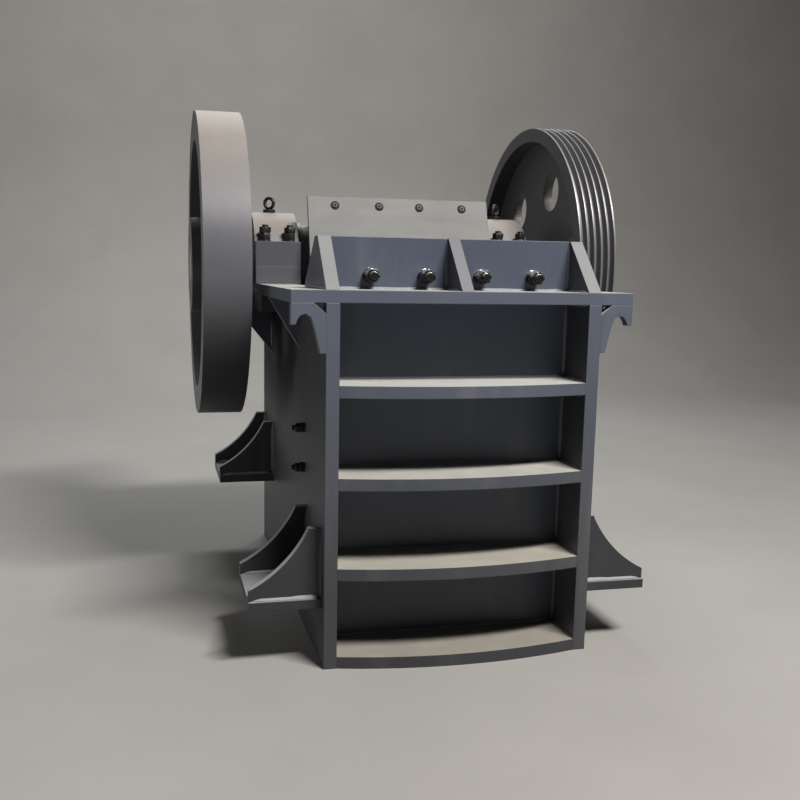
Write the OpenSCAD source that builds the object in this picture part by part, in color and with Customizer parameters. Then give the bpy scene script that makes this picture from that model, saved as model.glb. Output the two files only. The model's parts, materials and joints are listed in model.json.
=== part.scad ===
// Jaw crusher for a 400 x 600 mm feed opening, welded frame, single toggle.
// Millimetres, Z up, floor at Z = 0, the rock falls from the mouth on top to the outlet below.
// The fixed-jaw end faces -Y, the toggle end faces +Y, the flywheel is on -X, the belt sheave on +X.
// Y values are counted back from the front edges of the side plates; set_in() moves them so that
// the middle of the whole machine stands over the origin.

/* [Frame] */
// side plate length, front edge to rear edge
frame_l = 1335; // [1310:5:1360]
// side plate thickness
side_t = 35; // [32:1:36]
// spacing of the shelf ribs
rib_pitch = 239; // [234:1:244]
// thickness of the shelf ribs and of the top flange
rib_t = 32; // [28:1:36]
// how far the front edge of a shelf rib bows out between the side plates
rib_bow = 40; // [20:1:50]
// width of the wings of the top flange beside the side plates
wing_w = 89; // [85:1:93]
// depth from the front edges back to the front wall
wall_y = 146; // [140:1:156]
// thickness of the front and rear walls
wall_t = 40; // [34:1:44]
// how far the front wall and its gussets stand up over the top flange
wall_up = 136; // [124:1:144]
// depth of the rear bay, from the rear wall's front face to the rear edges
rear_l = 180; // [172:1:188]

/* [Feet] */
// underside height of the front feet
foot_z = 155; // [147:1:163]
// how much higher the rear feet stand
rear_foot_up = 120; // [100:1:140]
// foot base plate thickness
foot_t = 25; // [20:1:30]
// how far the feet reach out beside the side plates
foot_reach = 190; // [170:1:210]
// foot base plate length along the frame
foot_l = 282; // [270:1:294]
// front face of the front feet
foot_y = 38; // [30:1:50]
// height of the gussets over the foot plate at the side plate
foot_gusset_h = 190; // [176:1:204]

/* [Shaft] */
// height of the shaft centre line over the top flange
axis_up = 55; // [51:1:59]
// throw of the eccentric
throw_e = 12; // [8:0.5:14]
// radius of the eccentric inside the jaw barrel
eccentric_r = 82; // [78:1:88]
// radius of the shaft in the bearings
journal_r = 62; // [58:1:66]
// radius of the shaft in the wheel hubs
seat_r = 52; // [46:1:56]
// how far the shaft stands out past the flywheel rim
shaft_out = 16; // [12:1:20]
// radial running clearance
run_gap = 0.06; // [0.02:0.01:0.1]

/* [Wheels] */
// outer radius of the flywheel and the sheave
wheel_r = 490; // [470:1:500]
// flywheel rim width
fly_w = 139; // [130:1:144]
// space between a bearing and the wheel beside it
wheel_gap = 42; // [36:1:48]
// spacing of the belt grooves
groove_pitch = 22.8; // [20:0.1:23.4]
// depth of the belt grooves
groove_d = 20; // [14:0.5:24]
// number of belt grooves
grooves = 5; // [4:1:5]
// radius of the round windows in the wheel webs
window_r = 65; // [50:1:70]
// number of round windows in a wheel web
windows = 6; // [4:1:8]

/* [Jaws] */
// feed opening width
mouth_w = 600; // [590:1:604]
// feed opening depth at the top
mouth_d = 400; // [380:1:410]
// discharge opening depth at the bottom
outlet_d = 95; // [70:1:120]
// thickness of the cheek plates that line the side plates
cheek_t = 35; // [30:1:40]
// side gap between the swing jaw and the cheek plates
jaw_gap = 7; // [6:0.5:10]
// depth of the jaw plate teeth
tooth_d = 18; // [12:1:22]
// spacing of the jaw plate teeth
tooth_pitch = 50; // [44:1:60]
// radius of the swing jaw barrel
barrel_r = 150; // [140:1:156]

/* [Hidden] */
$fn = 96;
eps = 0.01;
wheel_fn = 180;
// play between faces that are bolted together at a slant
fit_gap = 0.1;

// frame
in_x = mouth_w / 2 + cheek_t;
half_w = in_x + side_t;
wing_x = half_w + wing_w;
rear_y = frame_l - rear_l;
ribs = 4;
flange_z = ribs * rib_pitch;
deck_z = flange_z + rib_t;
gusset_toe = 6;
gusset_top = 40;
gusset_run = 340;
gusset_heel = 14;
bracket_t = 25;
bracket_mid_y = 430;
bracket_mid_h = 148;
bracket_mid_tip = 4;
bracket_rear_h = 216;
bracket_rear_tip = 105;
rear_rib_rows = [0, 2, 3];

// feet
foot_inset = 10;
foot_curve_r = 340;
foot_flat = 32;
foot_end = 29;

// jaws, from the front wall back to the barrel
fixed_t = 62;
fixed_y = wall_y + wall_t + fixed_t;
swing_t = 58;
mouth_up = 58;
mouth_z = deck_z + mouth_up;
outlet_z = 130;
jaw_w = mouth_w - 2 * jaw_gap;
face_tilt = atan((mouth_d - outlet_d) / (mouth_z - outlet_z));
low_back_y = fixed_y + outlet_d + swing_t;
// back of the swing jaw plate, and so the front of the jaw body, at a height
function back_y(z) = low_back_y + (z - outlet_z) * tan(face_tilt);
fixed_low = 60;
fixed_short = 20;
cheek_z = 90;
cheek_short = 12;
cheek_low = 130;
cheek_high = 40;

// shaft and bearings
barrel_set = 73;
axis_y = back_y(mouth_z) + barrel_set + barrel_r;
axis_z = deck_z + axis_up;
barrel_z = axis_z - throw_e;
block_y = 185;
block_over = 5;
block_in = 15;
bearing_in = in_x - block_in;
block_out = wing_x + block_over;
ear_h = 79;
saddle_in = 18;
saddle_x = wing_x - saddle_in;
saddle_y = 130;
saddle_h = 92;
// the rear wing bracket stands close behind the bearing's saddle
bracket_gap = 16;
bracket_rear_y = axis_y + saddle_y + bracket_gap;
cap_r = 168;
cap_lift = 9;
cap_step = 2;
cap_in = bearing_in + cap_step;
shoulder = 4;
wing_play = 3;
eye_r = 17;
eye_wire = 5.5;
eye_turn = 40;
eye_x = (in_x + block_out) / 2;
collar_r = 20;
collar_h = 10;
ecc_out = 8;

// wheels
fly_x = block_out + wheel_gap + fly_w;
shaft_x = fly_x + shaft_out;
sheave_x = block_out + wheel_gap;
hub_r = 105;
hub_out = 14;
rim_d = 90;
boss_r = 155;
web_t = 46;
ridge_w = 3.5;
rim_t = 45;
sheave_w = grooves * groove_pitch + 2 * ridge_w;
sheave_web_z = 58;
sheave_web_t = 34;
sheave_hub_in = 10;
window_at = 288;
window_turn = 20;
key_w = 28;
key_h = 10;
key_l = 140;

// swing jaw
heel_l = 90;
heel_drop = 20;
seat_z = 352;
seat_half = 80;
seat_set = 263;
seat_y = low_back_y + seat_set;
seat_t = 66;
seat_h = 120;
neck = 60;
lug = 84;
lug_set = 195;
lug_y = low_back_y + lug_set;
head_t = 34;
head_foot = 10;
guard_t = 12;
guard_set = 33;
guard_foot = 34;
guard_l = 190;
guard_over = 12;
guard_low = axis_z + guard_foot;
guard_high = guard_low + guard_l;
head_top = guard_high - guard_over;
pocket_n = 3;
pocket_w = 160;
pocket_rib = 18;
pocket_low = 470;
pocket_down = 132;
pocket_high = deck_z - pocket_down;
pocket_wall = 60;
ring_r = 158;
ring_gap = 21;
ring_t = cheek_t - ring_gap;
ring_play = 10;
// front of the guard plate, and of the head behind it, at a height
function guard_y(z) = back_y(z) - guard_set;
function head_y(z) = guard_y(z) + guard_t + fit_gap;

// toggle gear: the front end of the toggle plate stands clear of the seat on the swing jaw
toggle_r = 28;
nose_r = 24;
open_gap = 5;
toggle_t = 34;
toggle_in = 30;
toggle_over = 10;
toggle_w = mouth_w - 2 * toggle_in;
seat_w = toggle_w + 2 * toggle_over;
groove_in = 4;
block_w = seat_w + 2 * toggle_over;
block_h = 180;
block_l = 110;
block_z = 400;
shim_t = 36;
shim_h = 160;
block_face_y = rear_y - shim_t - block_l;
nose_y = seat_y + throw_e + open_gap + nose_r;
toggle_dy = block_face_y - nose_y;
toggle_a = atan((block_z - seat_z) / toggle_dy);

// tension rod and its spring behind the rear wall
rod_r = 18;
rod_z = 190;
rod_out = 76;
rod_end = frame_l + rod_out;
rod_tip = 42;
rod_hole_r = 42;
washer_r = 60;
washer_t = 12;
spring_r = 42;
wire_r = 8;
spring_turns = 4;
spring_l = rod_end - rod_tip - rear_y - wall_t - throw_e - open_gap;
spring_pitch = spring_l / spring_turns;

y_mid = (max(rod_end, axis_y + wheel_r) - rib_bow) / 2;

paint = [0.20, 0.21, 0.24];
cast = [0.28, 0.29, 0.31];
steel = [0.62, 0.62, 0.60];

module set_in() translate([0, -y_mid, 0]) children();
module both() for (s = [-1, 1]) scale([s, 1, 1]) children();

// a plate in a plane of constant X: its outline is drawn as [Y, Z]
module plate_x(x, t) translate([x, 0, 0]) rotate([90, 0, 90]) linear_extrude(t) children();
// a plate in a plane of constant Y: its outline is drawn as [X, Z]
module plate_y(y, t) translate([0, y + t, 0]) rotate([90, 0, 0]) linear_extrude(t) children();
// a round bar along X through [y, z], centred on X = 0
module cross_bar(w, r, y, z) translate([-w / 2, y, z]) rotate([0, 90, 0]) cylinder(r = r, h = w);
// a round bar along X about the shaft centre line, from x1 to x2
module shaft_bar(x1, x2, r, lift = 0)
    translate([x1, axis_y, axis_z + lift]) rotate([0, 90, 0]) cylinder(r = r, h = x2 - x1);
// a round bar along Y about the tension rod's line
module rod_bar(y, l, r, lift = 0) translate([0, y, rod_z + lift]) rotate([-90, 0, 0]) cylinder(r = r, h = l);

// frame
module side_plate(x) color(paint) set_in()
    plate_x(x, side_t) difference() {
        square([frame_l, flange_z]);
        translate([axis_y - saddle_y, deck_z - saddle_h]) square([2 * saddle_y, flange_z]);
    }

module front_wall() color(paint) set_in()
    translate([-in_x, wall_y, 0]) cube([2 * in_x, wall_t, deck_z + wall_up]);

// shelf rib: straight at the back, bowed out at the front between the side plates
bow_r = (in_x * in_x + rib_bow * rib_bow) / (2 * rib_bow);
module front_rib(row) color(paint) set_in() translate([0, 0, row * rib_pitch]) {
    translate([-in_x, 0, 0]) cube([2 * in_x, wall_y, rib_t]);
    intersection() {
        translate([0, bow_r - rib_bow, 0]) cylinder(r = bow_r, h = rib_t, $fn = 2 * wheel_fn);
        translate([-in_x, -rib_bow, 0]) cube([2 * in_x, rib_bow + wall_y, rib_t]);
    }
}

// top flange: a ledge in front, wings along both sides and a shelf over the rear bay
module top_flange() color(paint) set_in() difference() {
    translate([-wing_x, 0, flange_z]) cube([2 * wing_x, frame_l, rib_t]);
    translate([-in_x, wall_y, flange_z - 1])
        cube([2 * in_x, rear_y + wall_t - wall_y, rib_t + 2]);
    translate([-saddle_x, axis_y - saddle_y, flange_z - 1])
        cube([2 * saddle_x, 2 * saddle_y, rib_t + 2]);
    shaft_bar(-wing_x - 1, wing_x + 1, journal_r + wing_play);
}

// gussets on the ledge: a sloping front edge, and on the side ones a long slope down to the rear
module side_gusset(x) color(paint) set_in() plate_x(x, side_t) polygon([[gusset_toe, deck_z],
    [wall_y - gusset_toe, deck_z + wall_up], [wall_y - gusset_toe + gusset_top, deck_z + wall_up],
    [gusset_run, deck_z + gusset_heel], [gusset_run, deck_z]]);
module gusset_middle() color(paint) set_in() plate_x(-rib_t / 2, rib_t) polygon([[gusset_toe, deck_z],
    [wall_y - gusset_toe, deck_z + wall_up], [wall_y, deck_z + wall_up], [wall_y, deck_z]]);

// brackets under the wings, all cut from one plate thickness
module under_wing(y) color(paint) set_in() both()
    plate_y(y, bracket_t) translate([half_w, flange_z]) children();
// the front ones have an outer leg and a tall arch, given here in from the wing's edge and down
arch = [[0, 54], [12, 54], [17, 41], [25, 31], [38, 27], [50, 35], [57, 54], [65, 84], [74, 126]];
corner_cut = [32, 27];
module wing_brackets_front() under_wing(0) difference() {
    polygon(concat([[0, 0], [wing_w, 0]], [for (p = arch) [wing_w - p[0], -p[1]]],
        [[0, -arch[len(arch) - 1][1]]]));
    polygon([[-1, 1], [corner_cut[0], 1], [-1, -corner_cut[1]]]);
}
module wing_brackets_middle() under_wing(bracket_mid_y)
    polygon([[0, 0], [wing_w, 0], [wing_w, -bracket_mid_tip], [0, -bracket_mid_h]]);
module wing_brackets_rear() under_wing(bracket_rear_y)
    polygon([[0, 0], [wing_w, 0], [wing_w, -bracket_rear_tip], [0, -bracket_rear_h]]);

// feet: a base plate with a gusset near each end, the rear ones higher than the front ones
module foot_plates(y, up = 0) color(paint) set_in() both()
    translate([half_w, y, foot_z + up]) cube([foot_reach, foot_l, foot_t]);
// a foot gusset has a flat top, then one hollow curve down to the low outer end
module foot_gusset(y, up) {
    low = foot_z + foot_t + up;
    from = [half_w + foot_flat, low + foot_gusset_h];
    to = [half_w + foot_reach, low + foot_end];
    chord = norm(to - from);
    away = [from[1] - to[1], to[0] - from[0]] / chord;
    centre = (from + to) / 2 + away * sqrt(foot_curve_r * foot_curve_r - chord * chord / 4);
    plate_y(y, foot_t) difference() {
        polygon([[half_w, low], [to[0], low], to, from, [half_w, from[1]]]);
        translate(centre) circle(r = foot_curve_r, $fn = wheel_fn);
    }
}
module foot_gussets(y, up = 0) color(paint) set_in() both() {
    foot_gusset(y + foot_inset, up);
    foot_gusset(y + foot_l - foot_inset - foot_t, up);
}

// rear wall and its shelf ribs
module rear_wall() color(paint) set_in() difference() {
    translate([-in_x, rear_y, 0]) cube([2 * in_x, wall_t, deck_z]);
    rod_bar(rear_y - 1, wall_t + 2, rod_hole_r, throw_e);
}
module rear_ribs() color(paint) set_in() for (row = rear_rib_rows)
    translate([-in_x, rear_y + wall_t, row * rib_pitch])
        cube([2 * in_x, frame_l - rear_y - wall_t, rib_t]);

// toggle gear
module adjusting_block() color(cast) set_in() difference() {
    translate([-block_w / 2, block_face_y, block_z - block_h / 2]) cube([block_w, block_l, block_h]);
    cross_bar(block_w + 2, toggle_r, block_face_y, block_z);
}
module adjusting_shims() color(steel) set_in()
    translate([-seat_w / 2, rear_y - shim_t, block_z - shim_h / 2]) cube([seat_w, shim_t, shim_h]);
module toggle_plate() color(cast) set_in() plate_x(-toggle_w / 2, toggle_w) {
    translate([nose_y, seat_z]) circle(r = nose_r);
    translate([block_face_y, block_z]) {
        circle(r = toggle_r);
        rotate(180 + toggle_a) translate([0, -toggle_t / 2]) square([toggle_dy / cos(toggle_a), toggle_t]);
    }
}
module toggle_seat() color(cast) set_in() difference() {
    translate([-seat_w / 2, seat_y - seat_t, seat_z - seat_h / 2]) cube([seat_w, seat_t, seat_h]);
    cross_bar(seat_w + 2, toggle_r, seat_y + groove_in, seat_z);
}

// ribbed jaw plate: outline across the mouth, teeth towards +Y, back on Y = 0
tooth_at = [0.08, 0.38, 0.62, 0.92];
module toothed(w, t) {
    n = floor(w / tooth_pitch);
    margin = (w - n * tooth_pitch) / 2;
    polygon(concat([[-w / 2, 0], [-w / 2, t - tooth_d]],
        [for (i = [0 : n - 1], k = [0 : 3])
            [-w / 2 + margin + (i + tooth_at[k]) * tooth_pitch, t - [tooth_d, 0, 0, tooth_d][k]]],
        [[w / 2, t - tooth_d], [w / 2, 0]]));
}
module fixed_jaw_plate() color(cast) set_in()
    translate([0, wall_y + wall_t, outlet_z - fixed_low])
        linear_extrude(mouth_z - outlet_z + fixed_low - fixed_short) toothed(mouth_w, fixed_t);
module swing_jaw_plate() color(cast) set_in()
    translate([0, low_back_y, outlet_z]) rotate([-face_tilt, 0, 0]) rotate([0, 0, 180])
        linear_extrude((mouth_z - outlet_z) / cos(face_tilt)) toothed(jaw_w, swing_t);
module cheek_plate(x) color(cast) set_in()
    plate_x(x, cheek_t) polygon([[wall_y + wall_t, cheek_z], [fixed_y + outlet_d + cheek_low, cheek_z],
        [fixed_y + mouth_d - cheek_high, deck_z - cheek_short], [wall_y + wall_t, deck_z - cheek_short]]);

// bearings: a base and a cap split at the shaft centre line, the base let into a saddle
module journal_bore() shaft_bar(bearing_in - 1, block_out + 1, journal_r + run_gap);
module bearing_base(s) color(paint) set_in() scale([s, 1, 1]) difference() {
    union() {
        translate([bearing_in, axis_y - block_y, deck_z])
            cube([block_out - bearing_in, 2 * block_y, axis_up]);
        translate([in_x, axis_y - saddle_y, deck_z - saddle_h])
            cube([saddle_x - in_x, 2 * saddle_y, axis_up + saddle_h]);
    }
    journal_bore();
}
module bearing_cap(s) color(paint) set_in() scale([s, 1, 1]) difference() {
    union() {
        translate([bearing_in, axis_y - block_y, axis_z])
            cube([block_out - bearing_in, 2 * block_y, ear_h]);
        intersection() {
            shaft_bar(cap_in, block_out, cap_r, cap_lift);
            translate([cap_in, axis_y - cap_r, axis_z])
                cube([block_out - cap_in, 2 * cap_r, cap_r + cap_lift]);
        }
    }
    journal_bore();
}
module lifting_eyes() color(steel) set_in() both()
    translate([eye_x, axis_y, axis_z + cap_lift + cap_r]) rotate([0, 0, eye_turn]) {
        translate([0, 0, -eps]) cylinder(r = collar_r, h = collar_h + eps);
        translate([0, 0, collar_h + eye_r + eye_wire - 2]) rotate([90, 0, 0]) rotate_extrude()
            translate([eye_r, 0]) circle(r = eye_wire, $fn = 32);
    }

// rotor: shaft with its eccentric and two keys, flywheel and sheave
module eccentric_shaft() color(steel) set_in() {
    shaft_bar(-shaft_x, shaft_x, seat_r);
    shaft_bar(-block_out - shoulder, block_out + shoulder, journal_r);
    shaft_bar(-mouth_w / 2 - ecc_out, mouth_w / 2 + ecc_out, eccentric_r, -throw_e);
    both() translate([shaft_x - key_l, axis_y - key_w / 2, axis_z]) cube([key_l, key_w, seat_r + key_h]);
}
// a wheel on the shaft, drawn along +Z from its face at x
module on_shaft(x) translate([x, axis_y, axis_z]) rotate([0, 90, 0]) children();
module keyed_bore(z) translate([0, 0, z]) {
    cylinder(r = seat_r, h = shaft_x);
    translate([-seat_r - key_h, -key_w / 2, 0]) cube([seat_r, key_w, shaft_x]);
}
module web_windows() for (i = [0 : windows - 1]) rotate([0, 0, window_turn + i * 360 / windows])
    translate([window_at, 0, 0]) cylinder(r = window_r, h = fly_w);
module recess(inner_r, z, h) translate([0, 0, z]) difference() {
    cylinder(r = wheel_r - rim_d, h = h, $fn = wheel_fn);
    translate([0, 0, -1]) cylinder(r = inner_r, h = h + 2);
}
module flywheel() color(paint) set_in() on_shaft(-fly_x) difference() {
    union() {
        cylinder(r = wheel_r, h = fly_w, $fn = wheel_fn);
        translate([0, 0, -shaft_out]) cylinder(r = boss_r, h = fly_w);
        cylinder(r = hub_r, h = fly_w + hub_out);
    }
    recess(boss_r, -1, (fly_w - web_t) / 2 + 1);
    recess(hub_r, (fly_w + web_t) / 2, fly_w);
    web_windows();
    keyed_bore(-shaft_out - 1);
}
// sheave rim in section: trapezoid belt grooves between thin ridges
groove_at = [0.07, 0.3, 0.7, 0.93];
module sheave() color(paint) set_in() on_shaft(sheave_x) difference() {
    union() {
        rotate_extrude($fn = wheel_fn) polygon(concat([[wheel_r - rim_t, 0], [wheel_r, 0]],
            [for (i = [0 : grooves - 1], k = [0 : 3])
                [wheel_r - [0, groove_d, groove_d, 0][k], ridge_w + (i + groove_at[k]) * groove_pitch]],
            [[wheel_r, sheave_w], [wheel_r - rim_t, sheave_w]]));
        translate([0, 0, sheave_web_z]) cylinder(r = wheel_r - rim_t, h = sheave_web_t, $fn = wheel_fn);
        translate([0, 0, -hub_out])
            cylinder(r = hub_r, h = shaft_x - sheave_hub_in - sheave_x + hub_out);
    }
    keyed_bore(-hub_out - 1);
    web_windows();
}

// swing jaw: barrel on the eccentric, tapered body down to the toggle seat, ribs between pockets behind
module swing_jaw() color(cast) set_in() difference() {
    union() {
        cross_bar(mouth_w, barrel_r, axis_y, barrel_z);
        plate_x(-jaw_w / 2, jaw_w) polygon([[low_back_y + fit_gap, outlet_z],
            [low_back_y + heel_l, outlet_z - heel_drop], [seat_y - seat_t, seat_z - seat_half],
            [seat_y - seat_t, seat_z + seat_half], [axis_y + neck, barrel_z - neck],
            [axis_y - neck / 2, barrel_z + 2 * neck], [back_y(mouth_z) + fit_gap, mouth_z]]);
        plate_x(-toggle_w / 2, toggle_w) polygon([
            [head_y(guard_low), guard_low], [head_y(head_top), head_top],
            [head_y(head_top) + head_t, head_top],
            [axis_y - head_foot, barrel_z + barrel_r - head_foot], [axis_y - head_foot, guard_low]]);
        translate([-lug / 2, lug_y - lug, rod_z - lug / 2]) cube(lug);
    }
    cross_bar(mouth_w + 2, eccentric_r + run_gap, axis_y, barrel_z);
    for (i = [0 : pocket_n - 1])
        plate_x((i - (pocket_n - 1) / 2) * (pocket_w + pocket_rib) - pocket_w / 2, pocket_w) polygon([
            [back_y(pocket_low) + pocket_wall, pocket_low], [axis_y + barrel_r, pocket_low],
            [axis_y + barrel_r, pocket_high], [back_y(pocket_high) + pocket_wall, pocket_high]]);
}
module barrel_end_rings() color(paint) set_in() both()
    translate([mouth_w / 2, axis_y, barrel_z]) rotate([0, 90, 0]) difference() {
        cylinder(r = ring_r, h = ring_t);
        translate([0, 0, -1]) cylinder(r = eccentric_r + ring_play, h = ring_t + 2);
    }
module guard_plate() color(paint) set_in()
    plate_x(-mouth_w / 2, mouth_w) polygon([[guard_y(guard_low), guard_low],
        [guard_y(guard_high), guard_high], [guard_y(guard_high) + guard_t, guard_high],
        [guard_y(guard_low) + guard_t, guard_low]]);

module tension_rod() color(steel) set_in() {
    rod_bar(lug_y, rod_end - lug_y, rod_r);
    rod_bar(rod_end - rod_tip, washer_t, washer_r);
}
// the coil is one twisted section: a sector as long as the wire is thick along the axis
coil_half = 360 * wire_r / spring_pitch;
coil_step = 22.5;
coil_fn = 20;
function coil_edge(k, side) =
    let (s = sin(k * coil_step), r = spring_r + side * wire_r * sqrt(max(0, 1 - s * s)))
    [r * cos(coil_half * s), r * sin(coil_half * s)];
module tension_spring() color(steel) set_in()
    translate([0, rod_end - rod_tip, rod_z]) rotate([90, 0, 0])
        linear_extrude(spring_l, twist = -360 * spring_turns, slices = coil_fn * spring_turns, $fn = coil_fn)
            polygon(concat([for (k = [-4 : 4]) coil_edge(k, 1)],
                [for (k = [3 : -1 : -3]) coil_edge(k, -1)]));

side_plate(-half_w);  // side_plate_left
side_plate(in_x);  // side_plate_right
front_wall();
front_rib(0);  // front_rib_1
front_rib(1);  // front_rib_2
front_rib(2);  // front_rib_3
front_rib(3);  // front_rib_4
top_flange();
side_gusset(-half_w);  // gusset_left
gusset_middle();
side_gusset(in_x);  // gusset_right
wing_brackets_front();
wing_brackets_middle();
wing_brackets_rear();
foot_plates(foot_y);  // foot_plates_front
foot_plates(frame_l - foot_l, rear_foot_up);  // foot_plates_rear
foot_gussets(foot_y);  // foot_gussets_front
foot_gussets(frame_l - foot_l, rear_foot_up);  // foot_gussets_rear
rear_wall();
rear_ribs();
adjusting_block();
adjusting_shims();
toggle_plate();
fixed_jaw_plate();
cheek_plate(-in_x);  // cheek_plate_left
cheek_plate(mouth_w / 2);  // cheek_plate_right
bearing_base(-1);  // bearing_base_left
bearing_base(1);  // bearing_base_right
bearing_cap(-1);  // bearing_cap_left
bearing_cap(1);  // bearing_cap_right
lifting_eyes();
eccentric_shaft();
flywheel();
sheave();
swing_jaw();
barrel_end_rings();
swing_jaw_plate();
guard_plate();
toggle_seat();
tension_rod();
tension_spring();
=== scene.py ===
import json
import math
from functools import partial

import bmesh
import bpy
import numpy as np
from mathutils import Matrix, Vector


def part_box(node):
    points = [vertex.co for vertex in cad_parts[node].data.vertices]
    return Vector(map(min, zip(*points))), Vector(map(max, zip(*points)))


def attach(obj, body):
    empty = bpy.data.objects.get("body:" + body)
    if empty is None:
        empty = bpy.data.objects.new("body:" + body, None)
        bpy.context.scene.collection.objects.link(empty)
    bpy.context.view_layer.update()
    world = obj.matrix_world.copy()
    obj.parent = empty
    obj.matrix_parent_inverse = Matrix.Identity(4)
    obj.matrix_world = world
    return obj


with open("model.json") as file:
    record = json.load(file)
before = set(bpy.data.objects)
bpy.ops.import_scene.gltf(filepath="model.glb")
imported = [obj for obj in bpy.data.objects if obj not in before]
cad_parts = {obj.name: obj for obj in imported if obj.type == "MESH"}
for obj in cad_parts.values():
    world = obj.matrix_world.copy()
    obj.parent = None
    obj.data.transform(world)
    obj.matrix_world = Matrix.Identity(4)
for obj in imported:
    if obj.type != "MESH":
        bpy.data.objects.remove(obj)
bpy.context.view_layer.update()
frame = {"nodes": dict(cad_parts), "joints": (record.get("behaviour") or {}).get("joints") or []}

bl_info = {
    "name": "Jaw crusher finish",
    "version": (1, 0, 0),
    "blender": (4, 5, 0),
    "location": "View3D > Sidebar > Crusher",
    "description": "Paint, bolts, weld beads and a studio for a single-toggle jaw crusher",
    "category": "Object",
}


def span(node):
    """Lowest and highest corner of a CAD node, as arrays."""
    low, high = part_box(node)
    return np.array(low), np.array(high)


# places on the frame, in metres
SIDE_LOW, SIDE_HIGH = span("side_plate_right")
INNER_X, OUTER_X = SIDE_LOW[0], SIDE_HIGH[0]
FRONT, REAR = SIDE_LOW[1], SIDE_HIGH[1]
WALL_LOW, WALL_HIGH = span("front_wall")
WALL_Y, WALL_TOP = WALL_LOW[1], WALL_HIGH[2]
FLANGE_LOW, FLANGE_HIGH = span("top_flange")
WING_X, DECK_LOW, DECK_TOP = FLANGE_HIGH[0], FLANGE_LOW[2], FLANGE_HIGH[2]
RIB_BOXES = [span(f"front_rib_{row}") for row in (1, 2, 3, 4)]
GUSSET_LOW, GUSSET_HIGH = span("gusset_right")
MIDDLE_X = span("gusset_middle")[1][0]
FEET = [span("foot_plates_front"), span("foot_plates_rear")]
GUARD_LOW, GUARD_HIGH = span("guard_plate")
WHEEL_LOW, WHEEL_HIGH = span("sheave")
WHEEL_R = (WHEEL_HIGH[2] - WHEEL_LOW[2]) / 2
SHAFT = np.array(frame["joints"][0]["pos_m"])
SAME = 0.001  # places nearer to each other than this count as one

# heights between which the finishes and their painted shade change, in metres
SHADE_AND_DIRT_BELOW = 0.15
SIDE_SHADE_ENDS, SIDE_SHADE_FULL = 0.25, 0.8

X, Y, Z = np.eye(3)


# materials: expressions on node sockets
# a noise's scale is to the metre, a bump's depth and a place are in metres, the rest are shares

class Value:
    """One output socket of a finish. Arithmetic on it adds Math nodes."""

    def __init__(self, finish, socket):
        self.finish = finish
        self.socket = socket

    def math(self, operation, *terms):
        """A Math node on the terms, in their order."""
        sockets = dict(enumerate(terms))
        return self.finish.node("Math", {"operation": operation}, sockets)

    def __add__(self, other):
        return self.math("ADD", self, other)

    def __radd__(self, other):
        return self.math("ADD", other, self)

    def __sub__(self, other):
        return self.math("SUBTRACT", self, other)

    def __rsub__(self, other):
        return self.math("SUBTRACT", other, self)

    def __mul__(self, other):
        return self.math("MULTIPLY", self, other)

    def __rmul__(self, other):
        return self.math("MULTIPLY", other, self)

    def __pow__(self, other):
        return self.math("POWER", self, other)

    def __rpow__(self, other):
        return self.math("POWER", other, self)

    def absolute(self):
        return self.math("ABSOLUTE", self)

    def sine(self):
        return self.math("SINE", self)

    def least(self, other):
        return self.math("MINIMUM", self, other)

    def rise(self, low, high):
        """0 below low, 1 above high, and a smooth slope between."""
        settings = {"interpolation_type": "SMOOTHSTEP"}
        sockets = {"Value": self, "From Min": low, "From Max": high}
        return self.finish.node("MapRange", settings, sockets)

    def fall(self, low, high):
        """1 below low, 0 above high, and a smooth slope between."""
        return 1.0 - self.rise(low, high)


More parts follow.
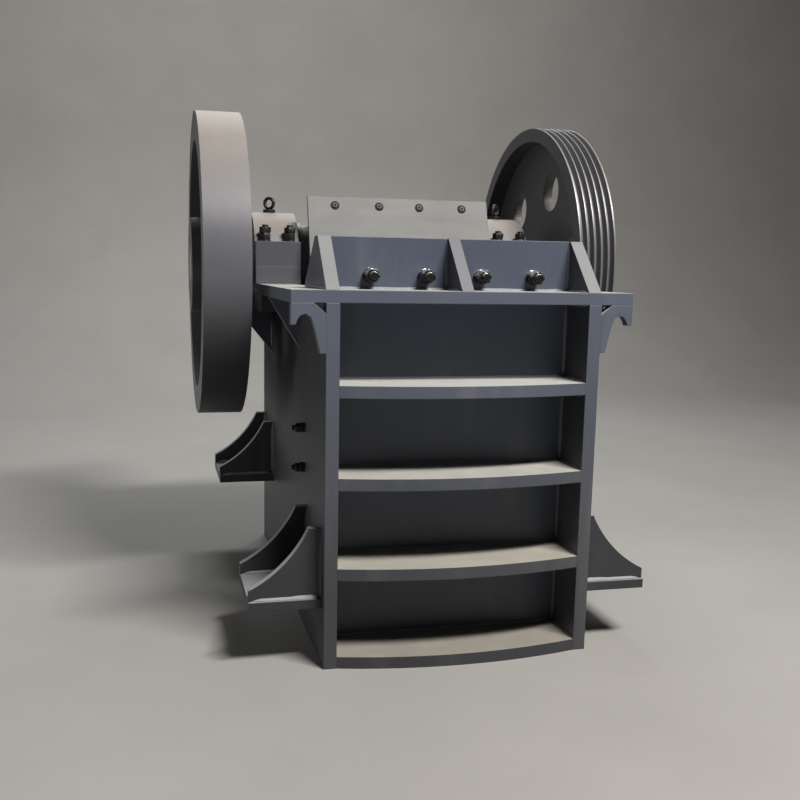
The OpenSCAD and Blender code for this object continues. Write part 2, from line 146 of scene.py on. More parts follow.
class Finish:
    """A material in the making, with the few nodes that its expressions need."""

    def __init__(self, name):
        self.material = bpy.data.materials.new(name)
        self.material.use_nodes = True
        self.tree = self.material.node_tree
        self.tree.nodes.clear()
        self.place = self.node("TexCoord", output="Object")
        self.at = self.parts(self.place)
        self.facing = self.parts(self.node("TexCoord", output="Normal"))

    def node(self, kind, settings=None, sockets=None, output=0):
        """Adds one node: first its settings, then the values or links of its sockets."""
        made = self.tree.nodes.new("ShaderNode" + kind)
        for key, setting in (settings or {}).items():
            setattr(made, key, setting)
        for key, value in (sockets or {}).items():
            if isinstance(value, Value):
                self.tree.links.new(value.socket, made.inputs[key])
            else:
                made.inputs[key].default_value = value
        return Value(self, made.outputs[output]) if len(made.outputs) else None

    def parts(self, vector):
        """The X, Y and Z of a vector."""
        split = self.node("SeparateXYZ", sockets={0: vector}).socket.node
        return [Value(self, socket) for socket in split.outputs]

    def blend(self, share, low, high):
        """One colour where share is 0, another where it is 1."""
        low, high = (c if isinstance(c, Value) else (*c, 1.0) for c in (low, high))
        return self.node("Mix", {"data_type": "RGBA"}, {0: share, 6: low, 7: high}, output=2)

    def mottled(self, share, colour, dark, light):
        """A colour times dark where share is 0, and times light where it is 1."""
        return self.blend(share, tone(colour, dark), tone(colour, light))

    def noise(self, scale, detail=3.0, rough=0.5, stretch=None):
        """Soft clouds from 0 to 1, scale of them to the metre, drawn out by stretch."""
        place = self.place
        if stretch:
            place = self.node("Mapping", sockets={"Vector": place, "Scale": stretch})
        sockets = {"Vector": place, "Scale": scale, "Detail": detail, "Roughness": rough}
        return self.node("TexNoise", sockets=sockets)

    def runs(self):
        """Streaks that have run down."""
        return self.noise(9.0, detail=4.0, rough=0.6, stretch=(1.0, 1.0, 0.14))

    def cells(self, scale):
        """Distance to the nearest of many scattered points."""
        return self.node("TexVoronoi", sockets={"Vector": self.place, "Scale": scale})

    def from_line(self, line):
        """Distance from an axis along X through the point line."""
        across, up = self.at[1] - float(line[1]), self.at[2] - float(line[2])
        return (across * across + up * up) ** 0.5

    def clean(self):
        """0 near the floor, where the paint is darkened as painted shade and the dust browner, and
        1 at the deck.
        """
        return self.at[2].rise(SHADE_AND_DIRT_BELOW, DECK_TOP)

    def painted_side_shade(self, low, high, amount):
        """Share of painted shade, in streaks like runs, on the upper part of faces that look
        sideways.
        """
        sideways = self.facing[0].absolute().rise(low, high)
        upper = self.at[2].rise(SIDE_SHADE_ENDS, SIDE_SHADE_FULL)
        return (sideways * upper * (0.6 + self.runs() * 0.7) * amount).least(1.0)

    def done(self, colour, roughness, height, depth, metal=0.0, round_edge=0.0):
        """Joins the expressions to a Principled shader and returns the material."""
        bump = {"Height": height, "Distance": depth, "Strength": 1.0}
        if round_edge:
            bump["Normal"] = self.node("Bevel", {"samples": 6}, {"Radius": round_edge})
        normal = self.node("Bump", sockets=bump)
        sockets = {"Base Color": colour, "Roughness": roughness, "Metallic": metal,
                   "Normal": normal}
        shader = self.node("BsdfPrincipled", sockets=sockets)
        self.node("OutputMaterial", sockets={"Surface": shader})
        return self.material


def tone(colour, factor):
    """A lighter or darker copy of a colour."""
    return tuple(channel * factor for channel in colour)


def painted_plate(name, look, paint=None, powder=None, dust_low=0.12, dust_high=1.25, dust=1.12,
                  shade=1.0, painted_side_shade=0.0):
    """Semi-gloss paint on steel plate: cloudy tone, orange peel, and dust where faces look up.

    Low down the paint is darker, a painted shade, and the dust browner. A painted shade, in
    streaks, darkens the upper part of faces that look sideways, below the bearings.
    """
    f = Finish(name)
    clean = f.clean()
    cloudy = f.noise(2.3).rise(0.3, 0.7)
    peel = f.noise(240.0, detail=2.0)
    dents = f.noise(6.0, detail=2.0)
    settled = f.noise(13.0, detail=6.0, rough=0.65)
    dust_here = f.facing[2].rise(dust_low, dust_high) * (0.72 + settled * 0.4) * dust
    film = f.runs().rise(0.52, 0.8) * 0.10
    covered = (dust_here + film).least(1.0)
    dark, light = 0.91 * shade, 1.07 * shade
    upper = f.mottled(cloudy, paint or look.paint, dark, light)
    # painted shade: low down the paint is darker, for the light that falls off towards the floor
    lower = f.mottled(cloudy, tone(paint, 0.62) if paint else look.shaded_paint, dark, light)
    coat = f.blend(clean, lower, upper)
    side_shaded = 0.0
    if painted_side_shade:
        side_shaded = f.painted_side_shade(0.5, 0.9, painted_side_shade)
        # painted shade: the upper part of sideways faces turns near black, in streaks
        coat = f.blend(side_shaded, coat, tone(look.shaded_paint, 0.3))
    colour = f.blend(covered, coat, powder or f.blend(clean, look.dirt, look.dust))
    roughness = 0.40 + covered * 0.42 + (settled - 0.5) * 0.12 + side_shaded * 0.4
    height = peel * 0.25 + dents * 0.9 + covered * settled * 0.3
    return f.done(colour, roughness, height, depth=0.0012, round_edge=look.edge)


def guard_finish(name, look):
    """Satin beige-grey plate with faint rolling streaks and a few rubbed patches."""
    f = Finish(name)
    streaks = f.noise(16.0, detail=5.0, rough=0.6, stretch=(0.3, 1.0, 1.0))
    clouds = f.noise(3.4)
    peel = f.noise(260.0, detail=2.0)
    colour = f.mottled(clouds.rise(0.3, 0.72), look.guard, 0.9, 1.08)
    colour = f.blend(streaks.rise(0.55, 0.85) * 0.4, colour, tone(look.guard, 0.75))
    height = peel * 0.3 + clouds * 0.8
    return f.done(colour, 0.46 + streaks * 0.2, height, depth=0.001, round_edge=look.edge)


def cast_teeth(name, look):
    """Raw manganese casting: pitted skin, darker hollows, and a painted dull grey sheen on what
    stands up.
    """
    f = Finish(name)
    skin = f.noise(55.0, detail=6.0, rough=0.62)
    pits = f.cells(130.0).rise(0.0, 0.35)
    clouds = f.noise(4.0, detail=4.0)
    # painted sheen: the skin is lighter where its bump stands up
    colour = f.mottled(skin.rise(0.35, 0.7), look.cast, 0.7, 1.25)
    colour = f.blend(clouds.rise(0.55, 0.8) * 0.5, colour, look.scale)
    height = skin * 0.9 + pits * 0.4
    return f.done(colour, 0.58 + skin * 0.22, height, depth=0.0022, metal=0.35,
                  round_edge=look.edge)


def turned_steel(name, look, darkening=0.3):
    """Turned bare steel: fine rings round the shaft line and a thin uneven film of oil."""
    f = Finish(name)
    rings = f.noise(420.0, detail=2.0, stretch=(1.0, 0.02, 0.02))
    film = f.noise(12.0, detail=4.0)
    colour = f.mottled(film.rise(0.45, 0.75) * darkening, look.steel, 1.0, 0.45)
    roughness = 0.26 + rings * 0.14 + film * 0.1
    return f.done(colour, roughness, rings, depth=0.0002, metal=1.0, round_edge=0.0012)


def rubbed_and_lit_nut(name, look):
    """Fasteners with a painted highlight of light steel where they look up and painted shade, near
    black, below.
    """
    f = Finish(name)
    rub = f.noise(90.0, detail=5.0, rough=0.6)
    # painted light and shade: colour follows how far a face looks up, varied by rubbing
    bright = f.facing[2].rise(-0.1, 0.6) * (0.7 + rub * 0.6)
    colour = f.mottled(bright.least(1.0), look.steel, 0.06, 1.3)
    return f.done(colour, 0.14 + rub * 0.16, rub, depth=0.0003, metal=0.85, round_edge=0.0016)


def painted_groove_shade(name, look):
    """Matt black, slightly mottled: painted shade for the groove round each guard bolt head and its
    socket.
    """
    f = Finish(name)
    mottle = f.noise(120.0, detail=4.0, rough=0.6)
    colour = f.mottled(mottle.rise(0.4, 0.7), look.black, 0.5, 1.4)
    return f.done(colour, 0.82 + mottle * 0.1, mottle, depth=0.0002)


def black_oxide(name, look):
    """Blackened fasteners and eyes: near black, with patches rubbed to dull steel."""
    f = Finish(name)
    rub = f.noise(90.0, detail=5.0, rough=0.6)
    colour = f.blend(rub.rise(0.6, 0.78) * 0.3, look.black, tone(look.steel, 0.3))
    return f.done(colour, 0.34 + rub * 0.16, rub, depth=0.0003, metal=0.3, round_edge=0.0012)


def weld_finish(name, look, dust=0.55, depth=0.001, painted_side_shade=0.0):
    """Painted weld bead: fine ripples under paint; dust and painted shade like those of the plates.
    """
    f = Finish(name)
    ripple = f.cells(150.0)
    clouds = f.noise(30.0)
    dust_here = f.facing[2].rise(0.2, 0.8) * dust
    # painted shade: the bead paint is darker near the floor
    coat = f.blend(f.clean(), look.shaded_paint, look.paint)
    coat = f.blend(clouds.rise(0.3, 0.7) * 0.3, coat, look.paint)
    if painted_side_shade:
        # painted shade on sideways faces high up, as on the plates
        coat = f.blend(f.painted_side_shade(0.2, 0.6, painted_side_shade), coat, tone(look.shaded_paint, 0.3))
    # pale dust on the beads' tops; on the side welds it is in part a painted highlight
    colour = f.blend(dust_here, coat, look.pale)
    return f.done(colour, 0.42 + dust_here * 0.2, ripple + clouds * 0.5, depth)


def wheel_paint(name, look, bright_from=None, shade=1.0):
    """Wheel paint with faint turning marks, dust where it looks up, painted shade where it looks
    down.

    Further from the shaft than bright_from, the rim is worn to bare metal.
    """
    f = Finish(name)
    cloudy = f.noise(2.6).rise(0.3, 0.7)
    settled = f.noise(14.0, detail=6.0, rough=0.65)
    peel = f.noise(220.0, detail=2.0)
    from_shaft = f.from_line(SHAFT)
    turning = (from_shaft * 900.0).sine()
    dust_here = f.facing[2].rise(0.15, 0.95) * (0.55 + settled * 0.35)
    # painted shade: faces that look down turn near black
    darkening = f.facing[2].fall(-0.5, 0.0) * 0.72
    paint = f.mottled(cloudy, look.wheel, 0.85 * shade, 1.15 * shade)
    paint = f.blend(darkening, paint, tone(look.wheel, 0.2))
    colour = f.blend(dust_here, paint, look.flour)
    roughness = 0.42 + dust_here * 0.34
    metal = 0.0
    if bright_from is not None:
        bare = from_shaft.rise(bright_from, bright_from + 0.002)
        colour = f.blend(bare, colour, tone(look.steel, 0.52))
        metal = bare * 0.55
        roughness = roughness - bare * 0.1
    height = peel * 0.25 + turning * 0.05 + settled * 0.2
    return f.done(colour, roughness, height, depth=0.0011, metal=metal,
                  round_edge=look.edge * 0.6)


def studio_floor(name, colour):
    """Pale matt floor."""
    f = Finish(name)
    clouds = f.noise(1.4, detail=5.0, rough=0.6)
    shade = f.mottled(clouds.rise(0.25, 0.75), colour, 0.95, 1.04)
    return f.done(shade, 0.72, clouds, depth=0.0004)


# surfaces: grids of points worked out as whole arrays

def shell(name, grids, material, body, smooth_angle=35.0):
    """One object from closed grids, each of rows x columns x 3, with every row a closed ring."""
    points, faces, first = [], [], 0
    for grid in grids:
        rows, columns = grid.shape[:2]
        row, column = np.meshgrid(np.arange(rows - 1), np.arange(columns), indexing="ij")
        beside = (column + 1) % columns
        quads = np.stack([row * columns + column, row * columns + beside,
                          (row + 1) * columns + beside, (row + 1) * columns + column], axis=-1)
        points.append(grid.reshape(-1, 3))
        faces.append(quads.reshape(-1, 4) + first)
        first += rows * columns
    mesh = bpy.data.meshes.new(name)
    mesh.from_pydata(np.concatenate(points).tolist(), [], np.concatenate(faces).tolist())
    cleaned = bmesh.new()
    cleaned.from_mesh(mesh)
    bmesh.ops.remove_doubles(cleaned, verts=cleaned.verts, dist=1e-6)
    bmesh.ops.dissolve_degenerate(cleaned, edges=cleaned.edges, dist=1e-7)
    bmesh.ops.recalc_face_normals(cleaned, faces=cleaned.faces)
    cleaned.to_mesh(mesh)
    cleaned.free()
    mesh.shade_smooth()
    mesh.set_sharp_from_angle(angle=math.radians(smooth_angle))
    piece = bpy.data.objects.new(name, mesh)
    bpy.context.scene.collection.objects.link(piece)
    mesh.materials.append(material)
    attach(piece, body)
    return piece


def turned(stations, sides=36):
    """Points of a round or six-sided piece that stands along Z.

    A station is (height, radius) or (height, radius, flats). At an angle the distance from the
    axis is the radius, or where flats is given the smaller of the radius and half the flats over
    the cosine of the angle folded into one sixth of a turn.
    """
    angle = np.arange(sides) * 2 * math.pi / sides
    height, radius, flats = np.array([(*s, math.inf)[:3] for s in stations]).T[:, :, None]
    folded = (angle + math.pi / 6) % (math.pi / 3) - math.pi / 6
    distance = np.minimum(radius, flats / 2 / np.cos(folded))
    ring = (distance * np.cos(angle), distance * np.sin(angle), height)
    return np.stack(np.broadcast_arrays(*ring), axis=-1)


def unit(vector):
    """The vector over its own length."""
    vector = np.asarray(vector, float)
    return vector / np.linalg.norm(vector)


def stood(points, place, along, turn=0.0):
    """The points turned by an angle about Z, with Z laid along a direction, moved to a place."""
    along = unit(along)
    helper = X if abs(along[0]) < 0.9 else Y
    side = unit(np.cross(helper, along))
    first = math.cos(turn) * side + math.sin(turn) * np.cross(along, side)
    second = np.cross(along, first)
    return points @ np.array([first, second, along]) + np.asarray(place, float)


def nut(low, high, flats):
    """Stations of a nut with both ends chamfered round."""
    chamfer, corner, end = flats * 0.07, flats * 0.64, flats * 0.48
    return [(low, 0.0), (low, end), (low + chamfer, corner, flats),
            (high - chamfer, corner, flats), (high, end), (high, 0.0)]


def disc(low, high, radius, edge=0.0008):
    """Stations of a washer or a plain round head with a small chamfer."""
    return [(low, 0.0), (low, radius), (high - edge, radius), (high, radius - edge), (high, 0.0)]


def thread(low, high, radius, pitch):
    """Stations of a threaded end: crests and roots in turn, and a chamfered tip."""
    root, tip = radius * 0.9, radius * 0.82
    count = max(2, int((high - low) / pitch))
    heights = np.linspace(low, high - pitch, 2 * count)
    turns = [(height, radius if i % 2 else root) for i, height in enumerate(heights)]
    return [(low, 0.0), *turns, (high, tip), (high, 0.0)]


def stud_set(flats, washer, first, second, end):
    """Grids of a washer, two nuts and the end of their stud, from a face at height 0."""
    washer_r, bore, seam, hidden = flats * 0.58, flats * 0.33, 0.0006, 0.004
    joint = washer + first
    top = joint + second
    return [turned(disc(0.0, washer, washer_r)),
            turned(nut(washer, joint, flats)),
            turned(nut(joint + seam, top, flats)),
            turned(thread(top - hidden, top + end, bore, pitch=bore * 0.22), sides=24)]


def bead(start, end, out_a, out_b, leg, noise):
    """Grid of a fillet weld in a straight corner.

    At share u of the run and v of the width a point is the corner line plus the leg times
    (1 - v) of one wall direction and v of the other, pushed out by a small share of a sine. A
    line behind the corner closes each ring. The leg wanders with smoothed noise and falls to
    nothing at both ends.
    """
    row_length, fewest_rows, columns, smoothed, taper_rows = 0.012, 6, 5, 5, 5
    wander_share, crown, behind = 0.18, 0.12, 0.25
    start, end, out_a, out_b = (np.asarray(p, float) for p in (start, end, out_a, out_b))
    rows = max(fewest_rows, int(np.linalg.norm(end - start) / row_length))
    u = np.linspace(0.0, 1.0, rows)[:, None, None]
    v = np.linspace(0.0, 1.0, columns)[None, :, None]
    draws = noise.standard_normal(rows + smoothed - 1)
    wander = np.convolve(draws, np.ones(smoothed) / smoothed, "valid")
    taper = np.minimum(1.0, np.sin(np.linspace(0, math.pi, rows)) * rows / taper_rows)
    size = (leg * (1.0 + wander_share * wander) * taper)[:, None, None]
    line = start + (end - start) * u
    skin = (1 - v) * out_a + v * out_b + crown * np.sin(math.pi * v) * (out_a + out_b)
    under = line - behind * size * (out_a + out_b)
    return np.concatenate([line + size * skin, under], axis=1)


def mirrored(grids):
    """The grids and their mirror images in X = 0."""
    return list(grids) + [grid * np.array([-1.0, 1.0, 1.0]) for grid in grids]


# what a user may change

def colour_prop(name, description, default):
    """A colour, as linear red, green and blue."""
    return bpy.props.FloatVectorProperty(
        name=name, description=description, subtype="COLOR", size=3, min=0.0, max=1.0,
        default=default)


def length_prop(name, description, low, high, default):
    """A length between low and high, in metres."""
    return bpy.props.FloatProperty(
        name=name, description=description, unit="LENGTH", min=low, max=high, default=default)


def power_prop(name, description, default):
    """The power of a light, in watts."""
    return bpy.props.FloatProperty(
        name=name, description=description, unit="POWER", min=0.0, default=default)


class CrusherLook(bpy.types.PropertyGroup):
    """Colours of the finishes."""

    paint: colour_prop(
        "Frame paint", "Blue-grey paint of the welded frame", (0.105, 0.118, 0.154))
    # painted shade: the front wall's paint is darker than the frame's, for the shade in the
    # recesses between the ribs
    wall: colour_prop(
        "Wall paint", "Deeper blue-grey of the front wall, out of the light",
        (0.080, 0.094, 0.130))
    # painted shade: frame paint darkened near the floor, where less light falls, and the base of
    # the painted shade on sideways faces
    shaded_paint: colour_prop(
        "Low paint", "Duller tone of the frame paint near the floor", (0.061, 0.063, 0.072))
    housing: colour_prop(
        "Bearing paint", "Grey paint of the bearing housings", (0.096, 0.096, 0.110))
    wheel: colour_prop(
        "Wheel paint", "Darker paint of the flywheel and the sheave", (0.070, 0.069, 0.078))
    guard: colour_prop(
        "Guard plate", "Beige-grey of the plate over the swing jaw", (0.170, 0.165, 0.155))
    dust: colour_prop(
        "Dust", "Stone dust on faces that look up", (0.53, 0.52, 0.48))
    dirt: colour_prop(
        "Low dust", "Browner dust on faces that look up near the floor", (0.41, 0.375, 0.32))
    ledge: colour_prop(
        "Gusset dust", "Warm grey dust on the slopes of the ledge gussets", (0.40, 0.38, 0.345))
    # on the side weld beads' tops this is dust and, in part, a painted highlight
    pale: colour_prop(
        "Foot dust", "Pale grey of dust on the feet and of dusty weld beads",
        (0.33, 0.335, 0.335))
    flour: colour_prop(
        "Fine dust", "Warm fine dust on the wheels and the bearing caps", (0.38, 0.34, 0.295))
    cast: colour_prop(
        "Casting", "Raw manganese steel of the jaw plates", (0.13, 0.128, 0.125))
    scale: colour_prop(
        "Scale", "Brown tinge of foundry scale on raw castings", (0.14, 0.105, 0.08))
    steel: colour_prop(
        "Bare steel", "Turned steel of the shaft and the worn belt ridges", (0.62, 0.61, 0.59))
    # also the colour of the painted shade in the guard bolt grooves
    black: colour_prop(
        "Fasteners", "Blackened bolts, nuts and lifting eyes", (0.024, 0.024, 0.026))
    edge: length_prop(
        "Edge radius", "How far plate edges are dressed round", 0.0, 0.01, 0.003)


class CrusherBolts(bpy.types.PropertyGroup):
    """Sizes and places of the fasteners and the welds."""

    clamp_flats: length_prop(
        "Clamp nut", "Across the flats of the jaw plate clamp nuts", 0.02, 0.08, 0.034)
    clamp_near: length_prop(
        "Inner clamp bolts", "From the middle to the inner clamp bolts", 0.05, 0.15, 0.078)
    clamp_far: length_prop(
        "Outer clamp bolts", "From the middle to the outer clamp bolts", 0.18, 0.28, 0.229)
    clamp_up: length_prop(
        "Clamp bolt height", "Clamp bolt centres over the ledge", 0.024, 0.06, 0.036)
    guard_near: length_prop(
        "Inner guard bolts", "From the middle to the inner guard plate bolts",
        0.03, 0.12, 0.067)
    guard_far: length_prop(
        "Outer guard bolts", "From the middle to the outer guard plate bolts",
        0.15, 0.27, 0.212)
    # the ring is painted shade for the groove round the head
    guard_head: length_prop(
        "Guard bolt ring", "Diameter of the rings under the guard plate bolts",
        0.01, 0.05, 0.029)
    guard_down: length_prop(
        "Guard bolt depth", "Guard bolt centres below the plate's top edge",
        0.015, 0.08, 0.028)
    stud_flats: length_prop(
        "Bearing nut", "Across the flats of the bearing cap nuts", 0.02, 0.06, 0.032)
    cheek_flats: length_prop(
        "Cheek nut", "Across the flats of the cheek plate nuts", 0.015, 0.05, 0.025)
    weld_leg: length_prop(
        "Weld leg", "Leg length of the fillet welds", 0.003, 0.015, 0.006)


class CrusherStudio(bpy.types.PropertyGroup):
    """Floor and lights."""

    floor: colour_prop(
        "Floor", "Colour of the studio floor", (0.375, 0.36, 0.337))
    key: power_prop(
        "Key light", "Power of the large soft light over the front, in watts", 335.0)
    back: power_prop(
        "Back light", "Power of the large soft light over the rear, in watts", 120.0)
    side: power_prop(
        "Side light", "Power of the weak light from the flywheel side, in watts", 14.0)
    wall: power_prop(
        "Wall light", "Power of the light on the wall behind, in watts", 95.0)
    fill: bpy.props.FloatProperty(
        name="Fill", description="Strength of the light from all around",
        min=0.0, max=2.0, default=0.032)


def look():
    return bpy.context.scene.crusher_look


def bolts():
    return bpy.context.scene.crusher_bolts


def studio():
    return bpy.context.scene.crusher_studio


# the building steps

SIDE_NODES = ["side_plate_left", "side_plate_right"]
PLATE_NODES = ["front_rib_2", "front_rib_3", "front_rib_4", "wing_brackets_front",
               "wing_brackets_middle", "wing_brackets_rear", "rear_wall", "rear_ribs"]
FOOT_NODES = ["foot_plates_front", "foot_plates_rear", "foot_gussets_front", "foot_gussets_rear"]
BEARING_NODES = ["bearing_base_left", "bearing_base_right",
                 "bearing_cap_left", "bearing_cap_right"]
BODY_NODES = ["swing_jaw", "barrel_end_rings", "toggle_seat", "adjusting_block"]
CAST_NODES = ["fixed_jaw_plate", "swing_jaw_plate", "cheek_plate_left", "cheek_plate_right",
              "toggle_plate"]
ROD_NODES = ["adjusting_shims", "tension_rod"]
BLACK_NODES = ["tension_spring", "lifting_eyes"]
WELD_ANGLE = 80.0  # in degrees: a bead is smooth over edges that turn less than this


def wear(nodes, material):
    """Gives CAD nodes a finish through their own material slots."""
    for node in nodes:
        for slot in frame["nodes"][node].material_slots:
            slot.material = material


def black():
    """The finish of the black fasteners, made when it is first asked for."""
    name = "fastener_black"
    return bpy.data.materials.get(name) or black_oxide(name, look())


def aimed(thing, place, right, up, ahead):
    """Puts a lamp or the camera, which looks along its own -Z, at a place in the scene."""
    axes = np.array([right, up, -ahead]).T
    thing.matrix_world = Matrix.Translation(place) @ Matrix(axes.tolist()).to_4x4()
    bpy.context.scene.collection.objects.link(thing)


class CrusherStep:
    """What the building steps share."""

    bl_options = {"REGISTER", "UNDO"}

    def execute(self, context):
        self.build()
        return {"FINISHED"}


class CRUSHER_OT_plates(CrusherStep, bpy.types.Operator):
    """Paint the welded plates of the frame"""

    bl_idname = "crusher.plates"
    bl_label = "Frame plates"
    # tone of the dust on each gusset's slope, and the painted shade on its sideways faces
    gussets = {"gusset_left": (1.0, 0.0), "gusset_middle": (0.6, 0.6), "gusset_right": (0.87, 0.6)}

    def build(self):
        wear(PLATE_NODES, painted_plate("frame_plate_paint", look()))
        # side plates: painted shade on the upper part of their outer faces and of the stiles' inner
        # faces
        wear(SIDE_NODES, painted_plate("side_plate_paint", look(), painted_side_shade=0.9))
        wear(["top_flange"],
             painted_plate("flange_paint", look(), powder=tone(look().dust, 0.77)))
        # front wall: painted shade, in a darker paint than the frame's
        wear(["front_wall"], painted_plate("front_wall_paint", look(), paint=look().wall))
        # lowest rib: painted shade, its paint and dust darker still near the floor
        wear(["front_rib_1"], painted_plate(
            "low_rib_paint", look(), powder=tone(look().dirt, 0.8), shade=0.76))
        for node, (dusty, painted_side_shade) in self.gussets.items():
            wear([node], painted_plate(
                node + "_paint", look(), powder=tone(look().ledge, dusty), dust=0.9, shade=0.88,
                painted_side_shade=painted_side_shade))
        # feet: painted shade, their paint darkened to a little over half
        wear(FOOT_NODES, painted_plate(
            "foot_paint", look(), powder=look().pale, dust_low=0.1, dust_high=0.6, dust=1.0,
            shade=0.56))


class CRUSHER_OT_bearings(CrusherStep, bpy.types.Operator):
    """Paint the bearing housings"""

    bl_idname = "crusher.bearings"
    bl_label = "Bearing housings"

    def build(self):
        wear(BEARING_NODES, painted_plate(
            "bearing_paint", look(), paint=look().housing, powder=look().flour, dust_low=0.1,
            dust_high=0.95, dust=0.74))


class CRUSHER_OT_wheels(CrusherStep, bpy.types.Operator):
    """Finish the flywheel, the sheave and the shaft"""

    bl_idname = "crusher.wheels"
    bl_label = "Wheels and shaft"
    ridge_depth = 0.004

    def build(self):
        wear(["flywheel"], wheel_paint("flywheel_paint", look(), shade=1.6))
        wear(["sheave"], wheel_paint(
            "sheave_paint", look(), bright_from=WHEEL_R - self.ridge_depth, shade=1.75))
        wear(["eccentric_shaft"], turned_steel("shaft_steel", look()))


class CRUSHER_OT_jaws(CrusherStep, bpy.types.Operator):
    """Finish the swing jaw, the jaw plates and the guard plate"""

    bl_idname = "crusher.jaws"
    bl_label = "Jaws and guard plate"

    def build(self):
        wear(BODY_NODES, painted_plate(
            "jaw_body_paint", look(), paint=look().wheel, powder=tone(look().dust, 0.5),
            shade=1.9))
        wear(CAST_NODES, cast_teeth("jaw_casting", look()))
        wear(["guard_plate"], guard_finish("guard_plate_paint", look()))
        wear(ROD_NODES, turned_steel("rod_steel", look(), darkening=0.6))
        wear(BLACK_NODES, black())


class CRUSHER_OT_clamp_bolts(CrusherStep, bpy.types.Operator):
    """Clamp bolts of the fixed jaw plate, with washers and double nuts, on the front wall"""

    bl_idname = "crusher.clamp_bolts"
    bl_label = "Jaw clamp bolts"
    heights = {"washer": 0.006, "first": 0.022, "second": 0.019, "end": 0.013}
    turns, part_turn = (0.35, 0.1, 0.6, 0.25), 0.3

    def build(self):
        b = bolts()
        grids = stud_set(b.clamp_flats, **self.heights)
        height = DECK_TOP + b.clamp_up
        places = (-b.clamp_far, -b.clamp_near, b.clamp_near, b.clamp_far)
        made = [stood(grid, (x, WALL_Y, height), -Y, turn + self.part_turn * part)
                for x, turn in zip(places, self.turns) for part, grid in enumerate(grids)]
        finish = rubbed_and_lit_nut("clamp_nut_steel", look())
        shell("jaw_clamp_bolts", made, finish, "frame")


class CRUSHER_OT_guard_bolts(CrusherStep, bpy.types.Operator):
    """Socket head bolts along the top of the guard plate"""

    bl_idname = "crusher.guard_bolts"
    bl_label = "Guard plate bolts"
    plate_t = 0.012
    # heights over the plate's face, the key's over the top of the head, and half its flats
    sunk, rim, proud, rounding = -0.002, 0.0012, 0.005, 0.0015
    key_low, key_high, socket = -0.001, 0.0004, 0.0048
    # radii of a head and of its top, as shares of the ring's
    head_share, top_share = 0.56, 0.46
    turn = 0.4

    def build(self):
        b = bolts()
        lean = (GUARD_HIGH[1] - self.plate_t - GUARD_LOW[1]) / (GUARD_HIGH[2] - GUARD_LOW[2])
        along = np.array([0.0, -1.0, lean]) / math.hypot(1.0, lean)
        height = GUARD_HIGH[2] - b.guard_down
        y = GUARD_LOW[1] + lean * (height - GUARD_LOW[2])
        places = (-b.guard_far, -b.guard_near, b.guard_near, b.guard_far)
        ring_r, proud = b.guard_head / 2, self.proud
        head_r, top_r = ring_r * self.head_share, ring_r * self.top_share
        ring = turned(disc(self.sunk, self.rim, ring_r))
        head = turned([(0.0, 0.0), (0.0, head_r), (proud - self.rounding, head_r),
                       (proud, top_r), (proud, 0.0)])
        key = turned(nut(proud + self.key_low, proud + self.key_high, 2 * self.socket))

        def four(grid):
            return [stood(grid, (x, y, height), along, self.turn * i)
                    for i, x in enumerate(places)]

        # painted shade: a black ring stands in for the groove round each head, a black key for its
        # socket
        dull = painted_groove_shade("ring_black", look())
        shell("guard_bolt_rings", four(ring) + four(key), dull, "jaw")
        heads = guard_finish("guard_head_paint", look())
        shell("guard_bolt_heads", four(head), heads, "jaw")


class CRUSHER_OT_cap_studs(CrusherStep, bpy.types.Operator):
    """Bearing cap studs with double nuts, four to a bearing"""

    bl_idname = "crusher.cap_studs"
    bl_label = "Bearing cap studs"
    near, far, reach, ear_top = 0.353, 0.432, 0.163, 0.079
    heights = {"washer": 0.004, "first": 0.022, "second": 0.019, "end": 0.007}
    turn, part_turn, place_turn = 0.2, 0.35, 3.0

    def build(self):
        grids = stud_set(bolts().stud_flats, **self.heights)
        top = SHAFT[2] + self.ear_top
        made = [stood(grid, (x, SHAFT[1] + y, top), Z,
                      self.turn + part * self.part_turn + x * self.place_turn)
                for x in (self.near, self.far) for y in (-self.reach, self.reach)
                for part, grid in enumerate(grids)]
        shell("bearing_cap_studs", mirrored(made), black(), "frame")


class CRUSHER_OT_cheek_bolts(CrusherStep, bpy.types.Operator):
    """Nuts of the cheek plates on the outside of both side plates"""

    bl_idname = "crusher.cheek_bolts"
    bl_label = "Cheek plate nuts"
    depth, levels = 0.330, (0.475, 0.590)
    heights = {"washer": 0.003, "first": 0.014, "second": 0.012, "end": 0.010}
    part_turn = 0.4

    def build(self):
        grids = stud_set(bolts().cheek_flats, **self.heights)
        made = [stood(grid, (OUTER_X, FRONT + self.depth, level), X, part * self.part_turn)
                for level in self.levels for part, grid in enumerate(grids)]
        shell("cheek_plate_nuts", mirrored(made), black(), "frame")


